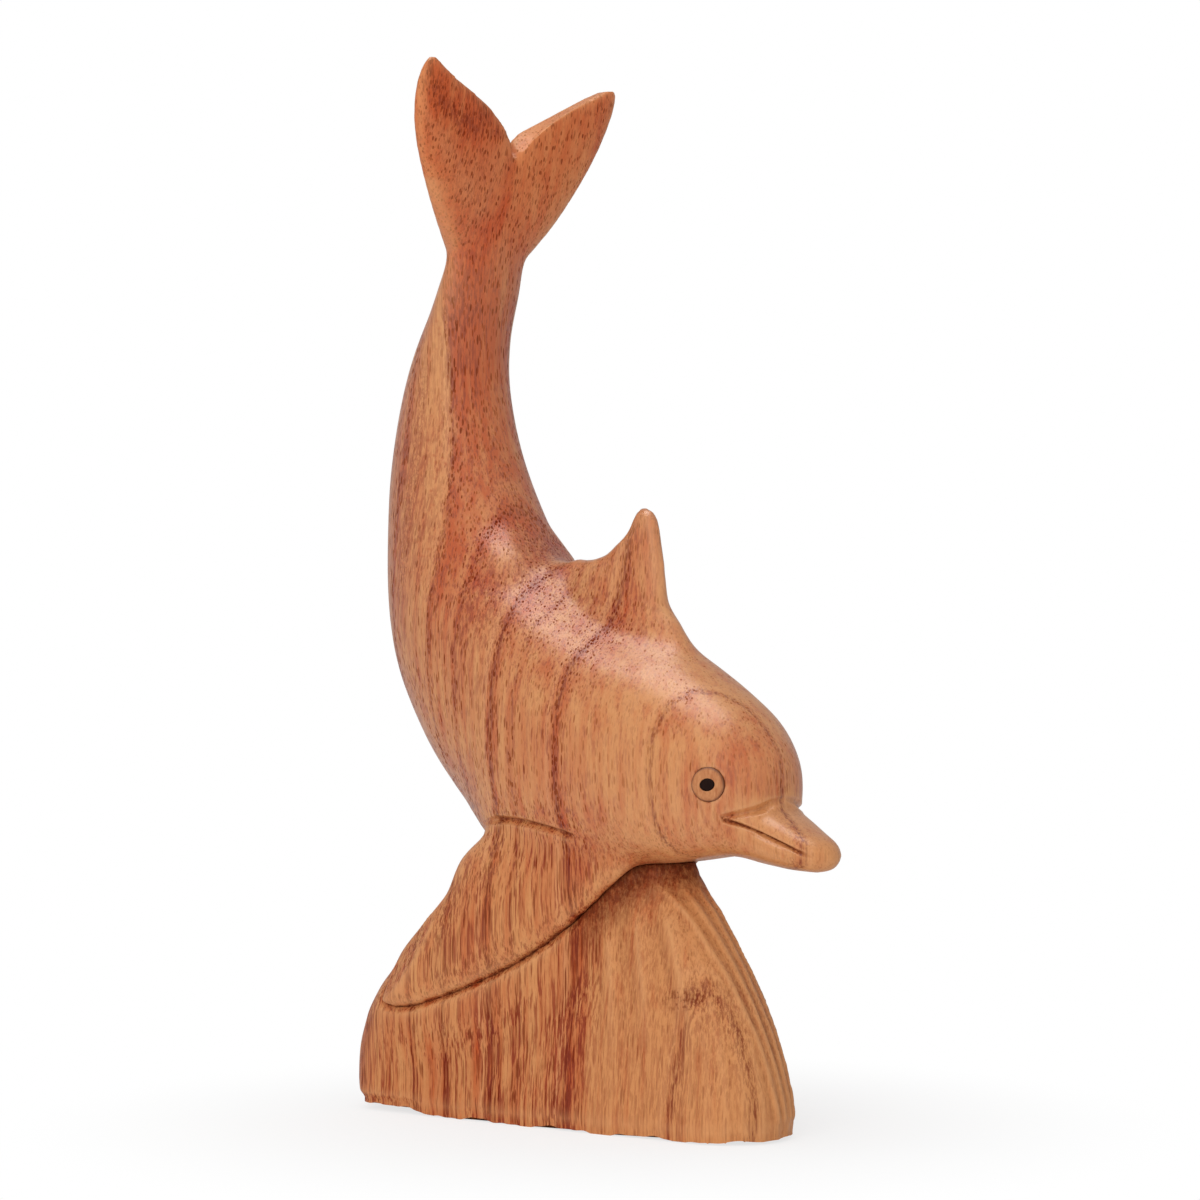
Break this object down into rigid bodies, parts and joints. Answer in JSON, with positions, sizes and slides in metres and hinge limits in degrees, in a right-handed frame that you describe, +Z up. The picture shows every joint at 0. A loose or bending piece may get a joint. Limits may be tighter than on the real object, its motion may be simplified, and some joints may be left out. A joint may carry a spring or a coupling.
{
  "type": "wooden dolphin statuette",
  "caption": "Hand-carved wooden dolphin with its tail raised and fins swept back, lying on a fluted wave-shaped base, as a free-standing ornament.",
  "frame": {"origin": "on the base's flat underside, below the middle of the body", "axes": "+X towards the dolphin's head, +Y to its left, +Z up along the raised tail"},
  "size_m": [0.1092, 0.0542, 0.2004],
  "materials": {
    "carved_wood": "open-pored red-brown hardwood with a satin clear finish",
    "eye_wood": "same hardwood, sanded smooth, satin clear finish",
    "pupil_wood": "near-black stained wood, satin"
  },
  "bodies": {
    "root": {"dolphin": "carved_wood", "wave_base": "carved_wood", "left_eye_disc": "eye_wood", "right_eye_disc": "eye_wood", "left_pupil": "pupil_wood", "right_pupil": "pupil_wood"}
  },
  "joints": []
}
